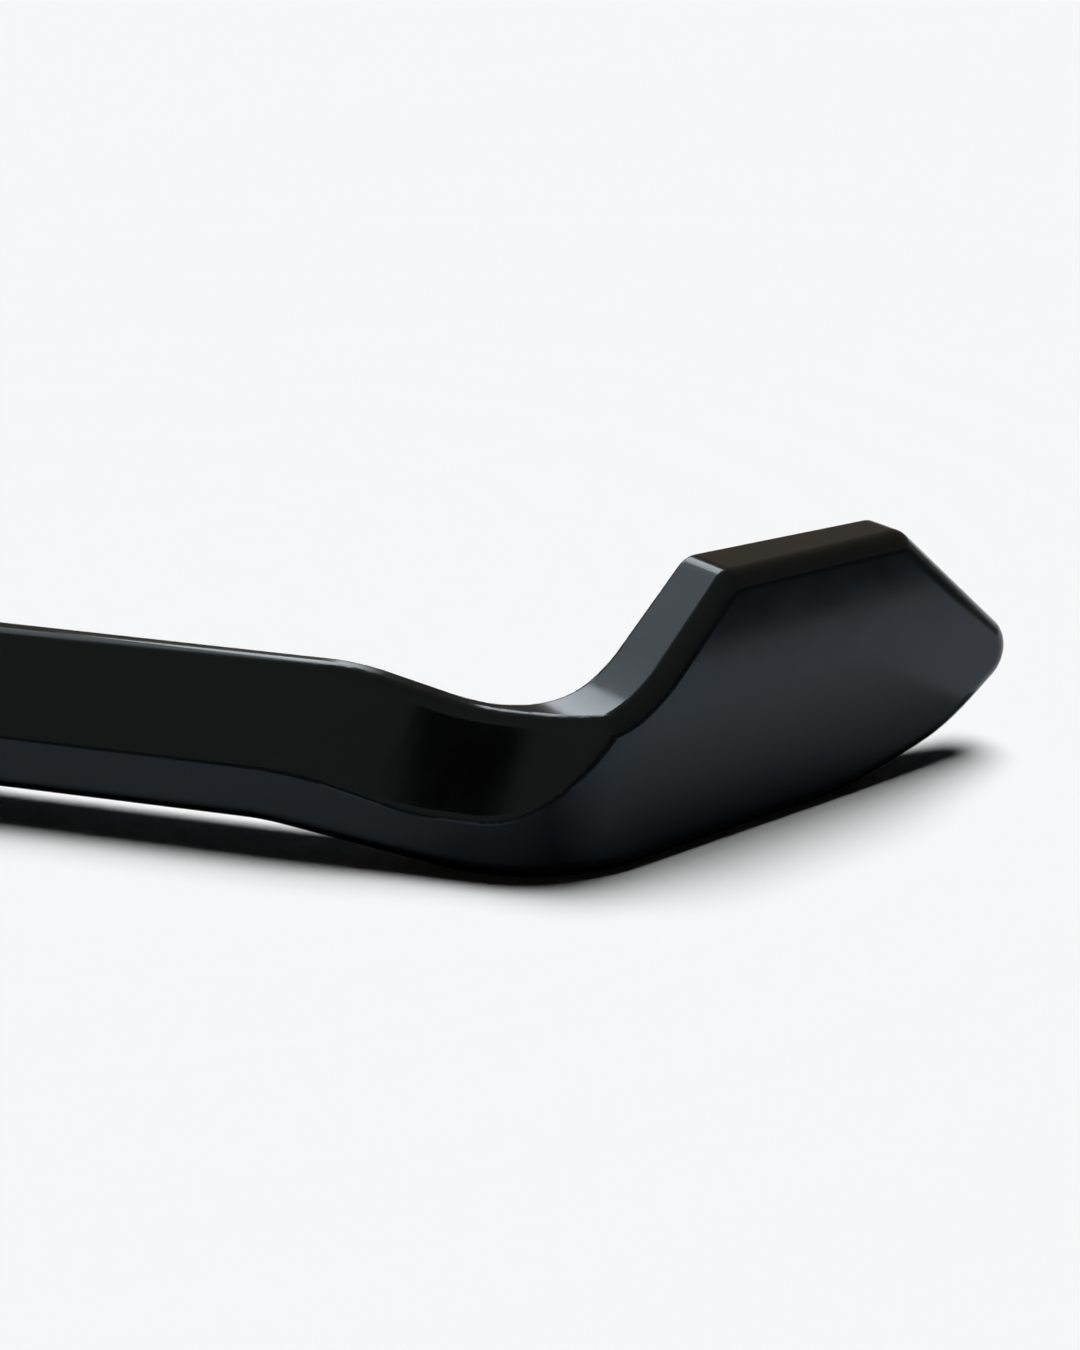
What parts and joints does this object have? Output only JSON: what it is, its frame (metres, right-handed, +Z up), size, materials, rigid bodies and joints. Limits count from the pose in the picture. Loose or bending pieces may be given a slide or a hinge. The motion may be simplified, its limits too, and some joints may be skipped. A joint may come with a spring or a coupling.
{
  "type": "brake lever guard",
  "caption": "Moulded black guard that bolts to a motorcycle handlebar's end and shields the brake lever's tip with a flared paddle.",
  "frame": {"origin": "on the fixing screw's axis, on the collar face that seats against the handlebar's end", "axes": "+X along the bar from its end towards the middle of the machine, -Y forward, +Z up"},
  "size_m": [0.1229, 0.1171, 0.0335],
  "materials": {
    "moulded_nylon": "black nylon, moulded smooth with a soft gloss"
  },
  "bodies": {
    "root": {"lever_guard": "moulded_nylon"}
  },
  "joints": []
}
